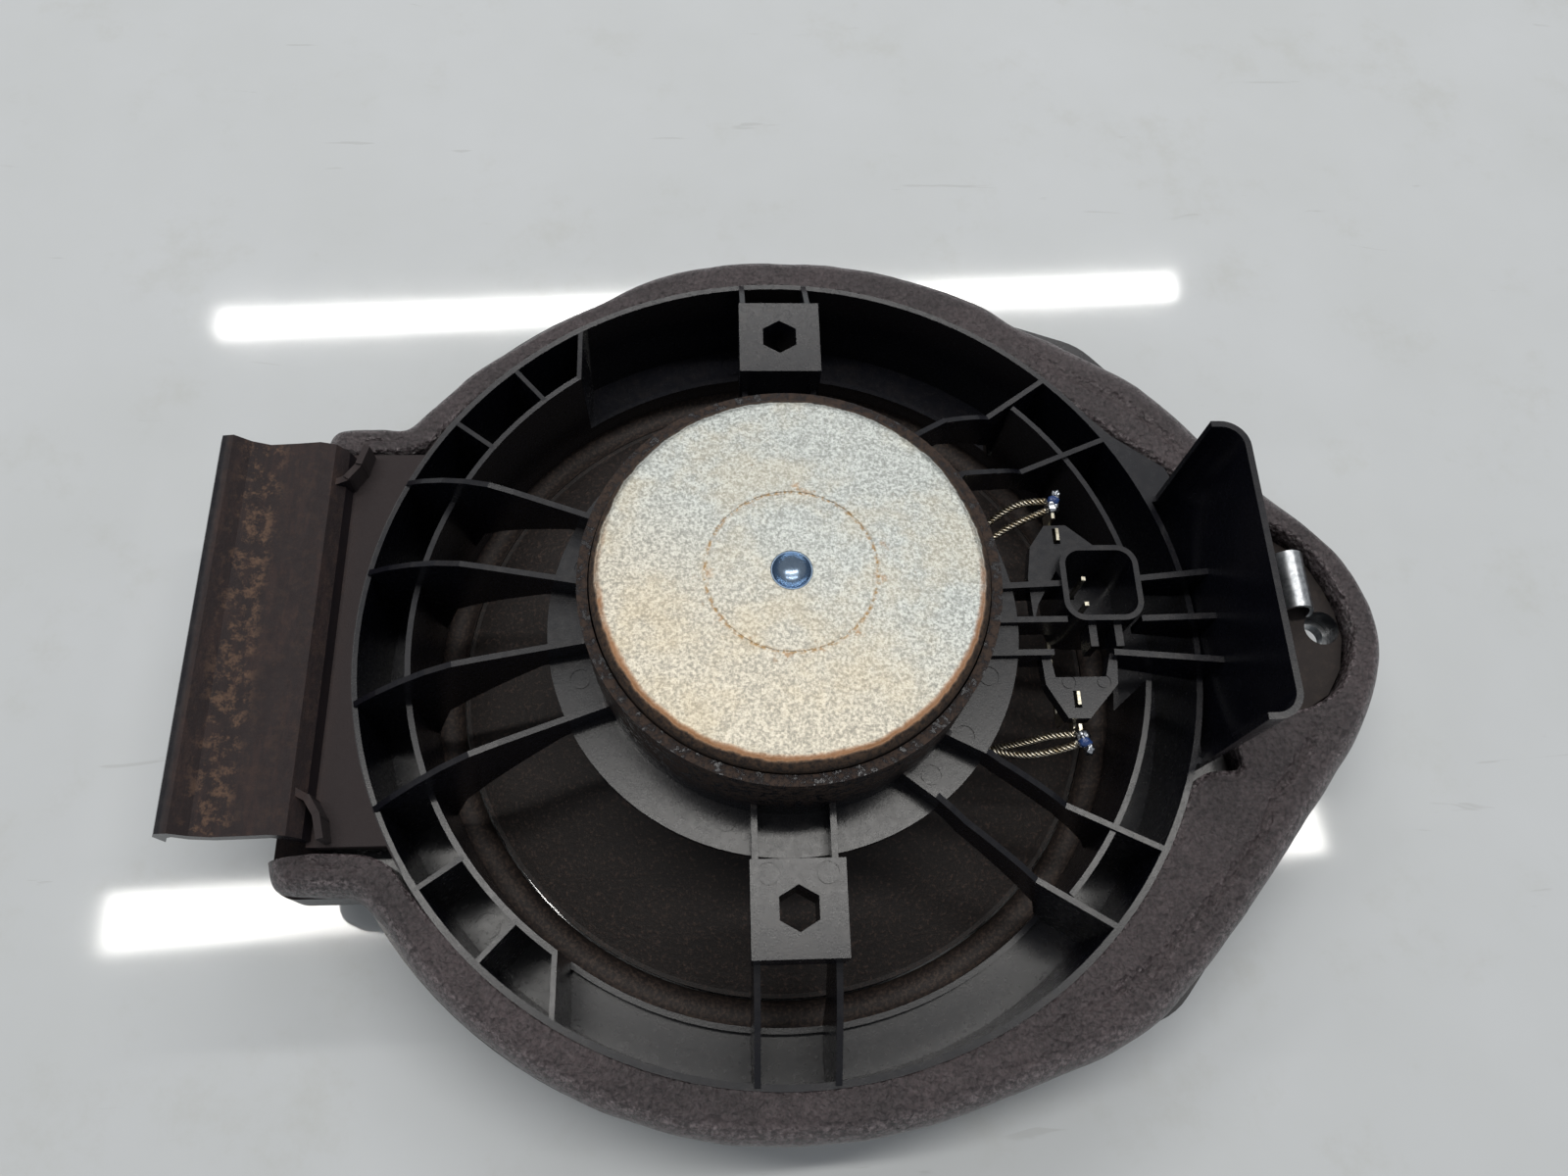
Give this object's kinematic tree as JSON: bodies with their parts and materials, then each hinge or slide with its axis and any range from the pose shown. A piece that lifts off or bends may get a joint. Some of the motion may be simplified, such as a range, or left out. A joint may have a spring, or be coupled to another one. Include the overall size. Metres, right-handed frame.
{
  "type": "coaxial car speaker",
  "caption": "Round coaxial door speaker with a ribbed plastic basket, shielded magnet, foam seal, keyed connector, hook foot and screw lug.",
  "frame": {"origin": "on the speaker axis, in the plane of the front rim", "axes": "+Z to the rear, towards the magnet; +X towards the screw lug and away from the hook; +Y across them, towards the side that the connector is offset to"},
  "size_m": [0.2334, 0.1836, 0.0627],
  "materials": {
    "basket_plastic": "satin moulded polypropylene",
    "gasket_foam": "dull skin with a fine leathery grain",
    "zinc_clip": "zinc plated spring steel",
    "tinned_brass": "tinned",
    "solder": "matt solder",
    "tinsel_braid": "woven tinsel braid",
    "galvanised_steel": "galvanised, lightly pitted",
    "plated_steel": "zinc plated",
    "ferrite": "ground ceramic",
    "front_ring_card": "matt",
    "surround_rubber": "satin rubber",
    "spider_cloth": "resin-dipped cotton",
    "cone_pulp": "dark felted pulp",
    "coil_former": "bare",
    "copper_wire": "enamelled copper",
    "tweeter_plastic": "fine satin",
    "dome_fabric": "coated silk",
    "capacitor_sleeve": "shrink sleeve"
  },
  "bodies": {
    "frame": {"basket": "basket_plastic", "foam_gasket": "gasket_foam", "screw_clip": "zinc_clip", "terminal_upper": "tinned_brass", "terminal_lower": "tinned_brass", "solder_upper": "solder", "solder_lower": "solder", "coil_lead_upper": "tinsel_braid", "coil_lead_lower": "tinsel_braid", "tweeter_lead_upper": "tinsel_braid", "tweeter_lead_lower": "tinsel_braid", "front_lead_upper": "tinsel_braid", "front_lead_lower": "tinsel_braid", "shield_can": "galvanised_steel", "pole_yoke": "plated_steel", "ferrite_magnet": "ferrite", "front_pole_plate": "plated_steel", "tweeter_post": "plated_steel", "post_nut": "plated_steel", "front_gasket_ring": "front_ring_card", "surround": "surround_rubber", "spider": "spider_cloth", "tweeter_housing": "tweeter_plastic", "tweeter_frame": "tweeter_plastic", "tweeter_yoke": "plated_steel", "tweeter_magnet": "plated_steel", "tweeter_pole_plate": "plated_steel", "tweeter_surround": "dome_fabric", "tweeter_grille": "tweeter_plastic", "tweeter_capacitor": "capacitor_sleeve"},
    "cone_assembly": {"cone": "cone_pulp", "cone_eyelets": "tinned_brass", "voice_coil_former": "coil_former", "voice_coil_winding": "copper_wire"},
    "tweeter_dome_assembly": {"tweeter_dome": "dome_fabric", "tweeter_voice_coil": "copper_wire"}
  },
  "joints": [
    {"name": "cone_travel", "type": "slide", "parent": "frame", "child": "cone_assembly", "axis": [0, 0, 1], "range_m": [-0.003, 0.003], "stiffness_N_per_m": 1700, "deforming": ["surround", "spider", "coil_lead_upper", "coil_lead_lower", "tweeter_lead_upper", "tweeter_lead_lower", "front_lead_upper", "front_lead_lower"]},
    {"name": "tweeter_travel", "type": "slide", "parent": "frame", "child": "tweeter_dome_assembly", "axis": [0, 0, 1], "range_m": [-0.0003, 0.0003], "stiffness_N_per_m": 800, "deforming": ["tweeter_surround"]}
  ]
}
